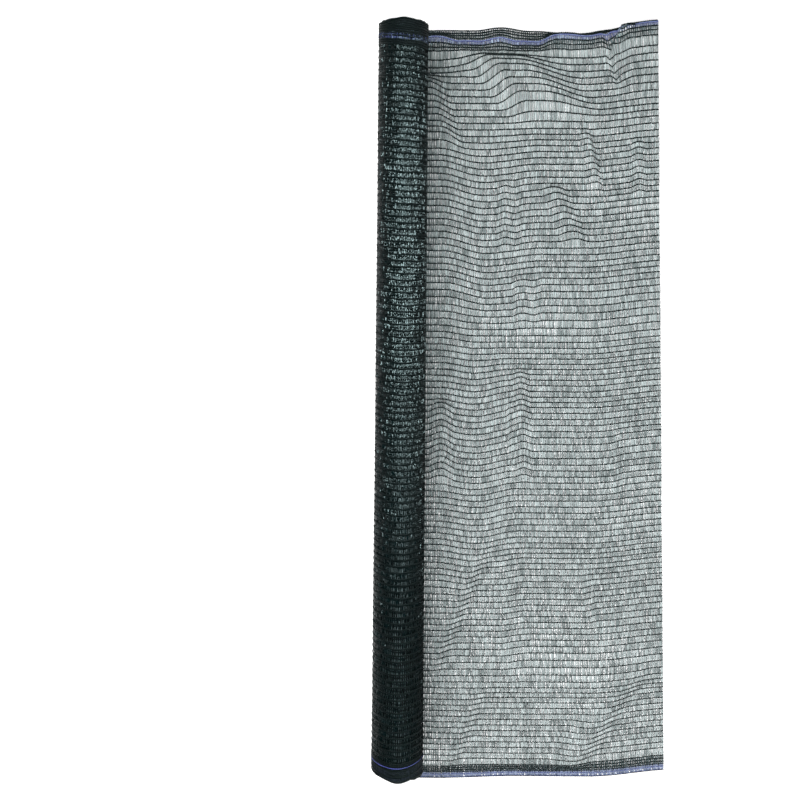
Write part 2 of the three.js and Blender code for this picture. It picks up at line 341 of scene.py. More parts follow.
# %% Helpers for trees
def add(tree, kind, inputs=None, **settings):
    """A new node. Its inputs are given by name or number, as a value or as a socket."""
    made = tree.nodes.new(kind)
    for setting, value in settings.items():
        setattr(made, setting, value)
    for key, value in (inputs or {}).items():
        if isinstance(value, bpy.types.NodeSocket):
            tree.links.new(value, made.inputs[key])
        else:
            made.inputs[key].default_value = value
    return made


def first(tree, kind, inputs=None, **settings):
    """The first output of a new node, which is the one most often wanted."""
    return add(tree, kind, inputs, **settings).outputs[0]


def calc(tree, operation, *terms):
    """The result of one sum on numbers or sockets."""
    return first(tree, "ShaderNodeMath", dict(enumerate(terms)), operation=operation)


def vector(tree, x, y, z):
    """A vector from its three parts."""
    return first(tree, "ShaderNodeCombineXYZ", {0: x, 1: y, 2: z})


def position_parts(tree):
    """The X, Y and Z of each point."""
    place = first(tree, "GeometryNodeInputPosition")
    return add(tree, "ShaderNodeSeparateXYZ", {0: place}).outputs


def points_at(tree, count, place):
    """Points to put copies on, at a place that is worked out for each."""
    return first(tree, "GeometryNodePoints", {"Count": count, "Position": place, "Radius": MM})


def shifted(tree, shape, **where):
    """The shape with its points at a new Position, or moved by an Offset."""
    return first(tree, "GeometryNodeSetPosition", {"Geometry": shape, **where})


def swept(tree, curve, section):
    """The section drawn along the curve, as a closed body."""
    values = {"Curve": curve, "Profile Curve": section, "Fill Caps": True}
    return first(tree, "GeometryNodeCurveToMesh", values)


def toned(tree, copies, tone):
    """The copies as one mesh in which each keeps a tone of its own."""
    values = {"Geometry": copies, "Name": "tone", "Value": tone}
    stored = first(tree, "GeometryNodeStoreNamedAttribute", values, domain="INSTANCE")
    return first(tree, "GeometryNodeRealizeInstances", {0: stored})


def new_tree(name, kind, inputs, outputs):
    """A node group with named sockets, and its two end nodes."""
    tree = bpy.data.node_groups.new(name, kind)
    for label, socket in inputs.items():
        tree.interface.new_socket(label, in_out="INPUT", socket_type="NodeSocket" + socket)
    for label, socket in outputs.items():
        tree.interface.new_socket(label, in_out="OUTPUT", socket_type="NodeSocket" + socket)
    return tree, tree.nodes.new("NodeGroupInput").outputs, tree.nodes.new("NodeGroupOutput").inputs


def floats(*labels):
    """Sockets for plain numbers."""
    return dict.fromkeys(labels, "Float")


def cloth_tree(name, inputs):
    """A tree that takes a form, its own inputs and a finish, and gives cloth."""
    inputs = {"Form": "Geometry", **inputs, "Finish": "Material"}
    return new_tree(name, "GeometryNodeTree", inputs, {"Cloth": "Geometry"})


WHOLE = {"Gaps": "Int", "Courses": "Int", "Seed": "Int"}
SEEDS = {"phase": 3, "off face": 7, "lean": 11, "twist": 13, "width": 17, "tone": 19}


def chance(tree, low, high, which, seed):
    """A random number between two limits that stays the same for one place and seed."""
    made = add(tree, "FunctionNodeRandomValue", {2: low, 3: high, 7: which, 8: seed})
    return made.outputs[1]


# %% [markdown]
# ## Laying a flat knit on a form
# The knit is first built flat: X along the cloth, Y across it and Z off its face. Sample UV
# Surface then looks up, for each point, where that place is on the form and which way the
# form faces. The same small tree serves the open end and the roll.

# %% Tree that lays a knit on its form
LAY, given, result = new_tree(
    "lay on the form",
    "GeometryNodeTree",
    {"Knit": "Geometry", "Form": "Geometry", **floats("Length", "Width")},
    {"Cloth": "Geometry"},
)
UV_EDGE = 0.0002  # keeps a place on the very edge inside the UV map


def inside_map(share):
    """A share of the cloth's length or width, kept inside the UV map."""
    return first(LAY, "ShaderNodeClamp", {0: share, 1: UV_EDGE, 2: 1 - UV_EDGE})


place = position_parts(LAY)
u = inside_map(calc(LAY, "DIVIDE", place[0], given["Length"]))
v = inside_map(calc(LAY, "DIVIDE", place[1], given["Width"]))
uv_map = first(LAY, "GeometryNodeInputNamedAttribute", {0: "cloth"}, data_type="FLOAT_VECTOR")
on_form = {"Mesh": given["Form"], "UV Map": uv_map, "Sample UV": vector(LAY, u, v, 0.0)}


def form_value(kind):
    """What the form has at the knit's own place, its position or its normal."""
    values = {**on_form, "Value": first(LAY, kind)}
    return first(LAY, "GeometryNodeSampleUVSurface", values, data_type="FLOAT_VECTOR")


facing = form_value("GeometryNodeInputNormal")
raised = first(LAY, "ShaderNodeVectorMath", {0: facing, "Scale": place[2]}, operation="SCALE")
spot = form_value("GeometryNodeInputPosition")
moved = first(LAY, "ShaderNodeVectorMath", {0: spot, 1: raised}, operation="ADD")
LAY.links.new(shifted(LAY, given["Knit"], Position=moved), result["Cloth"])
print("tree:", LAY.name, len(LAY.nodes), "nodes")


def laid_on_form(tree, knit, given):
    """The knit laid on its form, in a tree that has the form and the sizes as inputs."""
    sizes = {label: given[label] for label in ("Form", "Length", "Width")}
    return first(tree, "GeometryNodeGroup", {"Knit": knit, **sizes}, node_tree=LAY)


def end_tree(tree, shape, given, result):
    """Gives the shape its finish and hands it out."""
    finished = first(tree, "GeometryNodeSetMaterial", {0: shape, "Material": given["Finish"]})
    tree.links.new(finished, result["Cloth"])
    print("tree:", tree.name, len(tree.nodes), "nodes")


# %% [markdown]
# ## The zigzag tape
# The tape is a thin film, folded along its length to about two millimetres. It crosses from
# one chain to the next and back, once for each course. Each crossing is a copy of one small
# three-sided bar, which catches the light as folded film does and costs only eight triangles,
# and leans left or right by turns. Chance gives each its own twist, width and place, because a
# real tape never lies twice the same way. Next to the roll, and more so towards the head, the
# tape is made wider so that it closes the gaps: this paints the roll's shade on the net.

# %% Tree that knits the tape
TAPE_INPUTS = ("Length", "Width", "From", "To", "Tape", "Film", "Twist", "Wander", "Patches", "Shade Widening")
TAPE_TREE, given, result = cloth_tree("zigzag tape", {**floats(*TAPE_INPUTS), **WHOLE})
OVERLAP = 1.07  # a crossing reaches a little past the middle of its chains
OFF_FACE = 0.5  # it lies up to this many films above or below the middle
LEAN_LEAST = -0.15  # most crossings lie steeper than a straight zigzag would
LEAN_MOST = 0.5
WIDTH_LEAST = 0.8  # shares of the tape's width
WIDTH_MOST = 1.2
PRISM_RADIUS = 0.577  # gives a three-sided bar sides of length one
PATCH_COURSES = 9.0  # crossings in a light or dark patch of the tape
PATCH_GAPS = 1.3
SHADE_COURSES = 18.0  # the tape is widened over this many courses by the roll, as painted shade
t = TAPE_TREE
index = first(t, "GeometryNodeInputIndex")
gap_number = calc(t, "FLOOR", calc(t, "DIVIDE", calc(t, "ADD", index, 0.5), given["Courses"]))
course_number = calc(t, "SUBTRACT", index, calc(t, "MULTIPLY", gap_number, given["Courses"]))
course = calc(t, "DIVIDE", given["Length"], given["Courses"])
gap = calc(t, "DIVIDE", calc(t, "SUBTRACT", given["To"], given["From"]), given["Gaps"])
wander = calc(t, "MULTIPLY", given["Wander"], chance(t, -1.0, 1.0, index, given["Seed"]))
middle_x = calc(t, "MULTIPLY_ADD", calc(t, "ADD", course_number, 0.5), course, wander)
middle_y = calc(t, "MULTIPLY_ADD", calc(t, "ADD", gap_number, 0.5), gap, given["From"])
film_offset = chance(t, -OFF_FACE, OFF_FACE, index, SEEDS["off face"])
off_face = calc(t, "MULTIPLY", given["Film"], film_offset)
crossings = calc(t, "MULTIPLY", given["Gaps"], given["Courses"])
points = points_at(t, crossings, vector(t, middle_x, middle_y, off_face))
phase = calc(t, "ROUND", chance(t, 0.0, 1.0, gap_number, SEEDS["phase"]))
by_turns = calc(t, "PINGPONG", calc(t, "ADD", course_number, phase), 1.0)
left_or_right = calc(t, "MULTIPLY_ADD", by_turns, 2.0, -1.0)
lean = calc(t, "MULTIPLY", calc(t, "ARCTAN2", course, gap), left_or_right)
uneven_lean = calc(t, "MULTIPLY", lean, chance(t, LEAN_LEAST, LEAN_MOST, index, SEEDS["lean"]))
twist = calc(t, "MULTIPLY", given["Twist"], chance(t, -1.0, 1.0, index, SEEDS["twist"]))
turned = first(t, "FunctionNodeEulerToRotation", {0: vector(t, 0.0, twist, uneven_lean)})
squares = calc(t, "ADD", calc(t, "POWER", course, 2.0), calc(t, "POWER", gap, 2.0))
crossing = calc(t, "SQRT", squares)
# Wider tape by the roll and towards the head: painted shade of the roll on the net.
from_roll = calc(t, "DIVIDE", course_number, SHADE_COURSES)
by_roll = first(t, "ShaderNodeClamp", {0: calc(t, "SUBTRACT", 1.0, from_roll)})
by_head = calc(t, "DIVIDE", middle_y, given["Width"])
shade_widening = calc(t, "MULTIPLY", calc(t, "MULTIPLY", by_roll, by_head), given["Shade Widening"])
wide = calc(t, "MULTIPLY_ADD", given["Tape"], shade_widening, given["Tape"])
own_width = calc(t, "MULTIPLY", wide, chance(t, WIDTH_LEAST, WIDTH_MOST, index, SEEDS["width"]))
size = vector(t, own_width, calc(t, "MULTIPLY", crossing, OVERLAP), given["Film"])
prism = first(t, "GeometryNodeMeshCylinder", {"Vertices": 3, "Radius": PRISM_RADIUS, "Depth": 1.0})
lying = {"Geometry": prism, "Rotation": (-math.pi / 2, -math.pi / 2, 0)}
folded = first(t, "GeometryNodeTransform", lying)
sharp = first(t, "GeometryNodeSetShadeSmooth", {0: folded, "Shade Smooth": False})
placing = {"Points": points, "Instance": sharp, "Rotation": turned, "Scale": size}
bars = first(t, "GeometryNodeInstanceOnPoints", placing)
patch_x = calc(t, "DIVIDE", course_number, PATCH_COURSES)
patch_y = calc(t, "DIVIDE", gap_number, PATCH_GAPS)
cloudy = {"Vector": vector(t, patch_x, patch_y, 0.0), "Scale": 1.0, "Detail": 1.0}
patch = first(t, "ShaderNodeTexNoise", cloudy)
own = calc(t, "SUBTRACT", chance(t, 0.0, 1.0, index, SEEDS["tone"]), 0.5)
common = calc(t, "SUBTRACT", patch, 0.5)
tone = calc(t, "MULTIPLY_ADD", common, given["Patches"], calc(t, "ADD", own, 0.5))
end_tree(t, laid_on_form(t, toned(t, bars, tone), given), given, result)


# %% [markdown]
# ## The knitted chains
# A chain is a row of loops, each drawn through the last, so it is thick where two loops meet
# and thin between. One chain is a three-sided tube with a ring or two for each course, swelled
# where loops meet. It is repeated across the width, and a slow noise lets each chain wander.
# A fold stretches the cloth between its chains but not the thread itself. So a point's own
# offset from the middle of its chain waits in an attribute until the chain has been laid, and
# is added then. The same step slims the open net's chains towards the foot, where they are
# drawn tighter.

# %% Tree that knits the chains
CHAIN_INPUTS = ("Length", "Width", "From", "To", "Chain", "Flat", "Swell", "Thin", "Raise", "Wander")
CHAIN_TREE, given, result = cloth_tree(
    "knitted chains", {**floats(*CHAIN_INPUTS), **WHOLE, "Rings": "Int"}
)
CHAIN_SIDES = 3
WANDER_SCALE = 60  # about this many sways of a chain to the metre
NOISE_REACH = 4.0  # a noise keeps within a quarter or so either side of its middle
t = CHAIN_TREE
line = first(t, "GeometryNodeCurvePrimitiveLine", {"End": vector(t, given["Length"], 0.0, 0.0)})
rings = calc(t, "MULTIPLY_ADD", given["Courses"], given["Rings"], 1.0)
stepped = first(t, "GeometryNodeResampleCurve", {"Curve": line, "Count": rings})
round_section = {"Resolution": CHAIN_SIDES, "Radius": calc(t, "MULTIPLY", given["Chain"], 0.5)}
section = first(t, "GeometryNodeCurvePrimitiveCircle", round_section)
tube = swept(t, stepped, section)
at = position_parts(t)
course = calc(t, "DIVIDE", given["Length"], given["Courses"])
turns = calc(t, "MULTIPLY", calc(t, "DIVIDE", at[0], course), 2 * math.pi)
thick = calc(t, "MULTIPLY_ADD", calc(t, "COSINE", turns), given["Swell"], 1.0)
aside = {"Geometry": tube, "Name": "aside", "Value": calc(t, "MULTIPLY", at[1], thick)}
with_aside = first(t, "GeometryNodeStoreNamedAttribute", aside)
off_face = calc(t, "MULTIPLY", calc(t, "MULTIPLY", at[2], thick), given["Flat"])
loops = shifted(t, with_aside, Position=vector(t, at[0], 0.0, off_face))
index = first(t, "GeometryNodeInputIndex")
all_gaps = calc(t, "SUBTRACT", given["To"], given["From"])
gap = calc(t, "DIVIDE", all_gaps, calc(t, "MAXIMUM", given["Gaps"], 1.0))
chain_place = vector(t, 0.0, calc(t, "MULTIPLY_ADD", index, gap, given["From"]), given["Raise"])
points = points_at(t, calc(t, "ADD", given["Gaps"], 1.0), chain_place)
chains = first(t, "GeometryNodeInstanceOnPoints", {"Points": points, "Instance": loops})
all_chains = toned(t, chains, chance(t, 0.0, 1.0, index, SEEDS["tone"]))
slow = {"W": given["Seed"], "Scale": WANDER_SCALE, "Detail": 2.0}
sway = first(t, "ShaderNodeTexNoise", slow, noise_dimensions="4D")
farthest = calc(t, "MULTIPLY", given["Wander"], NOISE_REACH)
sideways = calc(t, "MULTIPLY", calc(t, "SUBTRACT", sway, 0.5), farthest)
swayed = shifted(t, all_chains, Offset=vector(t, 0.0, sideways, 0.0))
laid = laid_on_form(t, swayed, given)
own_aside = first(t, "GeometryNodeInputNamedAttribute", {0: "aside"}, data_type="FLOAT")
across_share = calc(t, "DIVIDE", position_parts(t)[1], given["Width"])
from_head = calc(t, "SUBTRACT", across_share, 0.5)
slimmer = calc(t, "MULTIPLY_ADD", from_head, given["Thin"], 1.0)
slim_aside = calc(t, "MULTIPLY", own_aside, slimmer)
widened = shifted(t, laid, Offset=vector(t, 0.0, slim_aside, 0.0))
plain = first(t, "GeometryNodeRemoveAttribute", {0: widened, "Name": "aside"})
smooth = first(t, "GeometryNodeSetShadeSmooth", {0: plain, "Shade Smooth": True})
end_tree(t, smooth, given, result)


# %% [markdown]
# ## Finishes
# Everything here is dark green polyethylene. One node group makes all finishes a little
# uneven. It mixes two colours by each crossing's own tone and a fine grain, and gives a
# roughness and a height for the bump. The open net's tapes are painted lighter than the plastic
# is, and the roll's yarns darker: painted light and painted shade, as set out below.

# %% Shared unevenness of drawn plastic
FINE_SHARE = 0.6  # how much of the mix is the fine grain
TONE_SHARE = 0.55  # and how much is the piece's own tone
DARK_HOLD = 0.05  # what stays fully dark
GRAIN, given, result = new_tree(
    "drawn plastic",
    "ShaderNodeTree",
    {
        **floats("Tone", "Fine", "Rare", "Smooth", "Rough"),
        "Dark": "Color",
        "Light": "Color",
    },
    {"Color": "Color", "Roughness": "Float", "Height": "Float"},
)
where = add(GRAIN, "ShaderNodeTexCoord").outputs["Object"]
fine = first(GRAIN, "ShaderNodeTexNoise", {"Vector": where, "Scale": given["Fine"], "Detail": 2.0})
own_part = calc(GRAIN, "MULTIPLY", given["Tone"], TONE_SHARE)
both = calc(GRAIN, "MULTIPLY_ADD", fine, FINE_SHARE, own_part)
even_share = first(GRAIN, "ShaderNodeClamp", {0: calc(GRAIN, "SUBTRACT", both, DARK_HOLD)})
share = calc(GRAIN, "POWER", even_share, given["Rare"])
blend = add(GRAIN, "ShaderNodeMix", {0: share, 6: given["Dark"], 7: given["Light"]}, data_type="RGBA")
spread = calc(GRAIN, "SUBTRACT", given["Rough"], given["Smooth"])
rough = calc(GRAIN, "MULTIPLY_ADD", calc(GRAIN, "SUBTRACT", 1.0, share), spread, given["Smooth"])
GRAIN.links.new(blend.outputs[2], result["Color"])
GRAIN.links.new(rough, result["Roughness"])
GRAIN.links.new(fine, result["Height"])
print("tree:", GRAIN.name, len(GRAIN.nodes), "nodes")


# %% [markdown]
# ## Crinkles of the film
# Thin film that has been folded and wound is full of tiny flats, and each of them throws its
# own glint. A cell pattern gives every flat a random colour. Read as a direction and scaled
# by a tilt, that colour leans the flat's normal. The roll's tape is tilted a lot round the
# roll and hardly along it, because its crossings lie side by side there.

# %% Shared crinkles of the film
FACETS = 1600  # small flats to the metre
FACET_SHAPE = (1.0, 0.5, 1.0)
CRINKLE, given, result = new_tree(
    "crinkled film", "ShaderNodeTree", {"Tilt": "Vector"}, {"Normal": "Vector"}
)
where = add(CRINKLE, "ShaderNodeTexCoord").outputs["Object"]
long_where = first(CRINKLE, "ShaderNodeVectorMath", {0: where, 1: FACET_SHAPE}, operation="MULTIPLY")
flats = add(CRINKLE, "ShaderNodeTexVoronoi", {"Vector": long_where, "Scale": FACETS})
both_ways = {0: flats.outputs["Color"], 1: (2, 2, 2), 2: (-1, -1, -1)}
own = first(CRINKLE, "ShaderNodeVectorMath", both_ways, operation="MULTIPLY_ADD")
tilt = first(CRINKLE, "ShaderNodeVectorMath", {0: own, 1: given["Tilt"]}, operation="MULTIPLY")
face = add(CRINKLE, "ShaderNodeNewGeometry").outputs["Normal"]
tilted = first(CRINKLE, "ShaderNodeVectorMath", {0: face, 1: tilt}, operation="ADD")
unit = first(CRINKLE, "ShaderNodeVectorMath", {0: tilted}, operation="NORMALIZE")
CRINKLE.links.new(unit, result["Normal"])
print("tree:", CRINKLE.name, len(CRINKLE.nodes), "nodes")


# %% [markdown]
# ## A finish for each yarn
# A finish runs from its dark colour to its light one, and is smooth where it is lightest. Fine
# is the size of its grain, rare makes light places fewer, and crinkle is the depth of its
# bump in millimetres.

# %% Build a finish
SHEEN = (0.72, 0.98, 1.0)  # the plastic's highlights are a cool green


def plastic(
    name, dark, light, smooth, rough, fine, crinkle, rare=1.0, tilt=(0, 0, 0), specular=0.5
):
    """A finish of drawn plastic that reads each crossing's or chain's own tone."""
    material = bpy.data.materials.new(name)
    material.use_nodes = True
    tree = material.node_tree
    shader = tree.nodes["Principled BSDF"]
    tone = add(tree, "ShaderNodeAttribute", attribute_name="tone")
    uneven = add(tree, "ShaderNodeGroup", node_tree=GRAIN)
    values = {"Dark": (*dark, 1), "Light": (*light, 1), "Fine": fine, "Rare": rare}
    values.update({"Smooth": smooth, "Rough": rough})
    for label, value in values.items():
        uneven.inputs[label].default_value = value
    tree.links.new(tone.outputs["Fac"], uneven.inputs["Tone"])
    relief = add(tree, "ShaderNodeBump", {"Distance": crinkle * MM, "Height": uneven.outputs["Height"]})
    flat = add(tree, "ShaderNodeGroup", node_tree=CRINKLE)
    flat.inputs["Tilt"].default_value = tilt
    tree.links.new(flat.outputs["Normal"], relief.inputs["Normal"])
    tree.links.new(uneven.outputs["Color"], shader.inputs["Base Color"])
    tree.links.new(uneven.outputs["Roughness"], shader.inputs["Roughness"])
    tree.links.new(relief.outputs["Normal"], shader.inputs["Normal"])
    shader.inputs["Specular IOR Level"].default_value = specular
    shader.inputs["Specular Tint"].default_value = (*SHEEN, 1)
    print("finish:", name)
    return material


# %% Finishes of the open net and of the roll
FILM = {"fine": 900, "crinkle": 0.15, "specular": 0.2}
WOUND_FILM = {"fine": 500, "crinkle": 0.1, "rare": 2.0, "specular": 0.2}
THREAD = {"fine": 1500, "crinkle": 0.2, "smooth": 0.5, "rough": 0.8}
YARN = {"fine": 1500, "crinkle": 0.2, "smooth": 0.35, "rough": 0.6}
OPEN_FACETS = (0.12, 0.08, 0.12)
WOUND_FACETS = (0.45, 0.04, 0.45)
BAND_FACETS = (0.1, 0.04, 0.1)

# The open net's tape, blue tape and selvage tapes are painted much lighter than the roll's copies of the
# same yarns: painted light, for the light from the white floor that falls through the thin film.
OPEN_TAPE = plastic(
    "open tape", (0.02, 0.028, 0.028), (0.38, 0.43, 0.43),
    smooth=0.4, rough=0.6, fine=900, crinkle=0.1, tilt=OPEN_FACETS, specular=0.15,
)
OPEN_CHAIN = plastic(
    "open chain", (0.001, 0.002, 0.002), (0.004, 0.006, 0.006), specular=0.08, **THREAD
)
BLUE_TAPE = plastic(
    "blue tape", (0.04, 0.045, 0.08), (0.12, 0.135, 0.23), smooth=0.25, rough=0.5, **FILM
)
EDGE_TAPE = plastic(
    "foot edge tape", (0.09, 0.11, 0.16), (0.2, 0.23, 0.33), smooth=0.25, rough=0.5, **FILM
)
DARK_TAPE = plastic(
    "selvage tape", (0.004, 0.008, 0.008), (0.09, 0.115, 0.12), smooth=0.3, rough=0.5, **FILM
)
MARKER = plastic("marker yarn", (0.03, 0.035, 0.11), (0.09, 0.1, 0.26), **YARN)
# The roll's tape, blue tape and selvage are the same yarns painted far darker: partly the plastic's own
# dark green, partly painted shade, as no light comes from beneath and the turns shade each other.
WOUND_TAPE = plastic(
    "wound tape", (0.0003, 0.001, 0.001), (0.002, 0.0085, 0.0095),
    smooth=0.07, rough=0.18, tilt=WOUND_FACETS, **WOUND_FILM,
)
WOUND_CHAIN = plastic(
    "wound chain", (0.001, 0.002, 0.002), (0.001, 0.003, 0.003), specular=0.1, **THREAD
)
WOUND_BLUE = plastic(
    "wound blue tape", (0.004, 0.006, 0.02), (0.03, 0.038, 0.13),
    smooth=0.3, rough=0.5, tilt=BAND_FACETS, **WOUND_FILM,
)
WOUND_MARKER = plastic("wound marker", (0.03, 0.035, 0.2), (0.09, 0.1, 0.42), **YARN)
WOUND_EDGE = plastic(
    "wound selvage", (0.001, 0.002, 0.003), (0.007, 0.009, 0.014),
    smooth=0.5, rough=0.8, fine=900, crinkle=0.3, specular=0.1,
)
# The core's near-black finish is partly the plastic's own colour and partly painted shade of the turns
# deep in the roll.
WOUND_CORE = plastic(
    "wound core", (0.001, 0.002, 0.002), (0.006, 0.009, 0.009),
    smooth=0.35, rough=0.7, fine=500, crinkle=0.6,
)


# %% [markdown]
# ## Knitting a piece
# A modifier holds one of the trees on a form, takes its sizes, and is turned into a plain mesh
# at once. A piece may be knitted in several spans, as a field and its two selvages are.

# %% Run a tree on a form
LENGTHS = (
    "Length", "Width", "From", "To", "Tape", "Film", "Chain", "Raise", "Wander",
    "Inner", "Outer", "Thick", "Deep", "Ragged",
)


def run_tree(tree, form, values):
    """The plain mesh that a tree makes on a form with these values, lengths in millimetres."""
    worker = put("worker", form)
    modifier = worker.modifiers.new("knit", "NODES")
    modifier.node_group = tree
    inputs = [item for item in tree.interface.items_tree if item.in_out == "INPUT"]
    sockets = {item.name: item.identifier for item in inputs}
    for label, value in values.items():
        modifier[sockets[label]] = value * MM if label in LENGTHS else value
    ready = bpy.context.evaluated_depsgraph_get()
    mesh = bpy.data.meshes.new_from_object(
        worker.evaluated_get(ready), preserve_all_data_layers=True, depsgraph=ready
    )
    bpy.data.objects.remove(worker)
    return mesh


def join(name, meshes):
    """One object from several meshes."""
    objects = [put(name, mesh) for mesh in meshes]
    if len(objects) > 1:
        with bpy.context.temp_override(active_object=objects[0], selected_editable_objects=objects):
            bpy.ops.object.join()
    piece = objects[0]
    piece.name = name
    piece.data.name = name
    piece.data.calc_loop_triangles()
    print(name, "triangles:", len(piece.data.loop_triangles))
    return piece


# %% [markdown]
# ## The open end
# The field has a chain every eight millimetres. Each selvage has its chains closer together,
# so that it doesn't fray, and a coloured marker yarn that shows where the cloth may be pinned.
# The cloth is therefore knitted in spans, each with its own number of gaps and its own tape.

# %% Spans of the cloth's width
HEAD_SELVAGE = 23.6  # these four are millimetres from the cloth's own edge
HEAD_BLUE = (17.4, 12.4)
FOOT_SELVAGE = 17.0
FOOT_BLUE = 8.5
FIELD_GAPS = 117


def cloth_spans(width, field_gaps, blue, dark, edge):
    """The field and the selvages between foot and head, with what differs from the field."""
    field_end = width - HEAD_SELVAGE
    blue_start, blue_end = (width - back for back in HEAD_BLUE)
    return [
        {"From": FOOT_SELVAGE, "To": field_end, "Gaps": field_gaps},
        {"From": field_end, "To": blue_start, "Gaps": 2, "Finish": dark, "Tape": 1.8},
        {"From": blue_start, "To": blue_end, "Gaps": 1, "Finish": blue, "Tape": 2.5},
        {"From": blue_end, "To": width, "Gaps": 4, "Finish": dark, "Tape": 1.6},
        {"From": FOOT_BLUE, "To": FOOT_SELVAGE, "Gaps": 3, "Finish": dark},
        {"From": 0.0, "To": FOOT_BLUE, "Gaps": 1, "Finish": edge, "Tape": 3.0},
    ]


def knit_tape(form, cloth, tape, spans):
    """The meshes of the zigzag tape, one for each span."""
    return [run_tree(TAPE_TREE, form, {**cloth, **tape, **span}) for span in spans]


def knit_chains(form, cloth, chain, places):
    """The meshes of the chains. Each place is where a row of them starts and ends, and its gaps."""
    rows = [{"From": start, "To": end, "Gaps": gaps} for start, end, gaps in places]
    return [run_tree(CHAIN_TREE, form, {**cloth, **chain, **row}) for row in rows]


def chain_places(spans):
    """Where the chains of these spans start and end, so that no chain is knitted twice."""
    places = []
    for span in spans:
        gap = (span["To"] - span["From"]) / span["Gaps"]
        start = span["From"] + (0 if span["From"] in (0.0, FOOT_SELVAGE) else gap)
        end = span["To"] - (gap if span["To"] == FOOT_SELVAGE else 0)
        places.append((start, end, round((end - start) / gap)))
    return places


# %% [markdown]
# ## Tape and chains of the open end
# The tape is wide enough to close about two thirds of the net, as shade netting is sold by the
# share of light it stops. The open length and the course give the number of crossings.

# %% Knit the open end
OPEN_LENGTH = REACH - NET_START
OPEN_COURSES = round(OPEN_LENGTH / COURSE)
open_cloth = {"Length": OPEN_LENGTH, "Width": NET_WIDTH, "Courses": OPEN_COURSES, "Seed": 1}
open_spans = cloth_spans(NET_WIDTH, FIELD_GAPS, BLUE_TAPE, DARK_TAPE, EDGE_TAPE)
# The widening by the roll paints the roll's shade on the open net.
tape = {
    "Tape": 2.15, "Film": 0.6, "Twist": 0.4, "Wander": 0.35, "Patches": 0.6, "Shade Widening": 0.25,
    "Finish": OPEN_TAPE,
}
chain = {
    "Chain": 2.3, "Flat": 0.6, "Swell": 0.2, "Thin": 0.45, "Raise": 0.4, "Wander": 0.4, "Rings": 2,
}
open_tape = join("open_tape", knit_tape(OPEN_FORM, open_cloth, tape, open_spans))
open_chains = join(
    "open_chains",
    knit_chains(OPEN_FORM, open_cloth, {**chain, "Finish": OPEN_CHAIN}, chain_places(open_spans)),
)

# %% Marker chains of the open end
HEAD_LINE = NET_WIDTH - HEAD_BLUE[1]
FOOT_LINES = (1.2, 5.5)  # the foot has two faint blue chains near its edge
marker = {**chain, "Chain": 2.6, "Raise": 0.6, "Finish": MARKER}
head_line = [(HEAD_LINE, HEAD_LINE, 0)]
foot_lines = [(place, place, 0) for place in FOOT_LINES]
open_markers = join(
    "open_markers",
    knit_chains(OPEN_FORM, open_cloth, marker, head_line)
    + knit_chains(OPEN_FORM, open_cloth, {**marker, "Chain": 1.2, "Thin": 0.0}, foot_lines),
)


# %% [markdown]
# ## The wound roll
# Only the last turns of a roll can be seen, so two turns of net lie on a dark core. Light
# falls through the gaps of the first on the tape of the second, and the roll glitters.

# %% Knit the turns of the roll
TURN_LENGTH = 209  # once round the roll
WOUND_WIDTH = 972  # the cloth between the outer turn's selvages
TURN_COURSES = 71
WOUND_GAPS = 113
OUTER_SEED = 21
INNER_SEED = 22

wound_cloth = {"Length": TURN_LENGTH, "Width": WOUND_WIDTH, "Courses": TURN_COURSES}
wound_spans = cloth_spans(WOUND_WIDTH, WOUND_GAPS, WOUND_BLUE, WOUND_EDGE, WOUND_EDGE)
wound_tape = {
    "Tape": 1.4, "Film": 0.25, "Twist": 0.5, "Wander": 0.8, "Patches": 1.6, "Shade Widening": 0.0,
    "Finish": WOUND_TAPE,
}
wound_chain = {
    "Chain": 2.2, "Flat": 0.35, "Swell": 0.4, "Thin": 0.0, "Raise": 0.3, "Wander": 1.0, "Rings": 1,
    "Finish": WOUND_CHAIN,
}


def knit_turn(name, form, seed):
    """One turn of net on its form, tape and chains together."""
    cloth = {**wound_cloth, "Seed": seed}
    made = knit_tape(form, cloth, wound_tape, wound_spans)
    made += knit_chains(form, cloth, wound_chain, chain_places(wound_spans))
    return join(name, made)


outer_turn = knit_turn("outer_turn", OUTER_FORM, OUTER_SEED)
inner_turn = knit_turn("inner_turn", INNER_FORM, INNER_SEED)


# %% [markdown]
# ## The turns below
# Through both turns only darkness shows: the many turns below, deep in shade. A closed body
# with a slightly uneven, near-black finish stands for them, and that finish is partly the
# plastic's own dark green and partly painted shade. It is made from rings of points, because
# it follows the same lumps as the turns on it.

# %% The core under the turns
CORE_INSET = 3.0
CORE_STEPS = 96
CORE_RINGS = 120
CORE_SHORT = 0.2  # the core ends this far inside the inner turn
core_turn = np.linspace(0, 1, CORE_STEPS + 1)[:-1]
foot_y = -round_the_roll(INNER_FOOT, core_turn) + CORE_SHORT
head_y = round_the_roll(INNER_HEAD, core_turn) - CORE_SHORT
core_ys = [foot_y * (1 - v) + head_y * v for v in np.linspace(0, 1, CORE_RINGS)]
core_places = np.array([on_the_roll(core_turn, y, CORE_INSET) for y in core_ys])
core_faces = []
for ring in range(CORE_RINGS - 1):
    for step in range(CORE_STEPS):
        after = (step + 1) % CORE_STEPS
        low, high = ring * CORE_STEPS, (ring + 1) * CORE_STEPS
        core_faces.append((low + step, low + after, high + after, high + step))
core_faces.append(tuple(reversed(range(CORE_STEPS))))
core_faces.append(tuple((CORE_RINGS - 1) * CORE_STEPS + step for step in range(CORE_STEPS)))
core_mesh = bpy.data.meshes.new("wound_core")
core_mesh.from_pydata((core_places.reshape(-1, 3) * MM).tolist(), [], core_faces)
core_mesh.materials.append(WOUND_CORE)
wound_core = join("wound_core", [core_mesh])


# %% [markdown]
# ## Edges of the turns at the roll's ends
# Seen from its end, the roll is a spiral of selvages. A spiral curve with a thin upright
# section makes it, and a little noise lets some turns stand further out than others.

